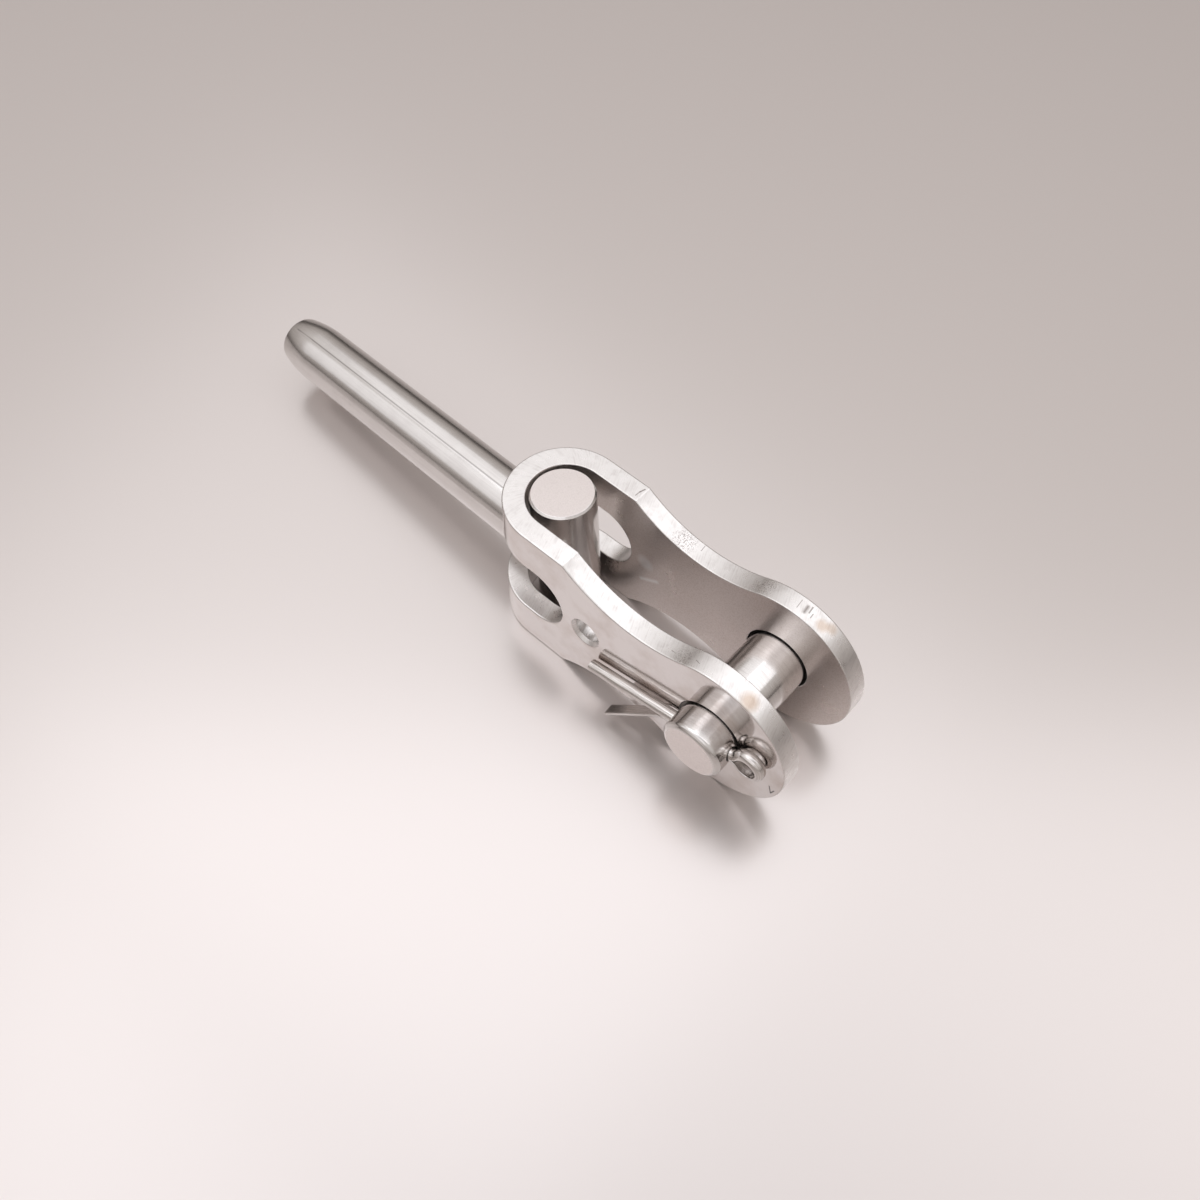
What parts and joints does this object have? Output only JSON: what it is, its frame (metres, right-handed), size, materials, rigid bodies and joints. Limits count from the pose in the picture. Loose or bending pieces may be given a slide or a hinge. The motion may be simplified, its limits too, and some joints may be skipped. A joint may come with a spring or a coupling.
{
  "type": "swage toggle terminal",
  "caption": "U-folded strap toggle with a clevis pin and cotter across round ears; a T-shaped terminal swings in its slotted fold and takes a wire rope in a swaging bore.",
  "frame": {"origin": "on the clevis pin's axis, midway between the two ears", "axes": "+X along the strap towards the wire end, +Y along the clevis pin towards the cotter, +Z along the fold"},
  "size_m": [0.1886, 0.0411, 0.0418],
  "materials": {
    "strap_steel": "polished flats with satin inner faces and bright cut edges",
    "terminal_steel": "turned and polished along the shank, satin end faces",
    "pin_steel": "turned and polished, satin end face",
    "cotter_steel": "drawn half-round wire, bright"
  },
  "bodies": {
    "strap": {"toggle_strap": "strap_steel"},
    "terminal": {"swage_terminal": "terminal_steel"},
    "pin": {"clevis_pin": "pin_steel", "cotter_pin": "cotter_steel"}
  },
  "joints": [
    {"name": "shank_swing", "type": "hinge", "parent": "strap", "child": "terminal", "pos_m": [0.057, 0, 0], "axis": [0, 0, 1], "range_deg": [-86.5, 93.5]},
    {"name": "pin_turn", "type": "hinge", "parent": "strap", "child": "pin", "pos_m": [0, 0, 0], "axis": [0, 1, 0], "continuous": true}
  ]
}
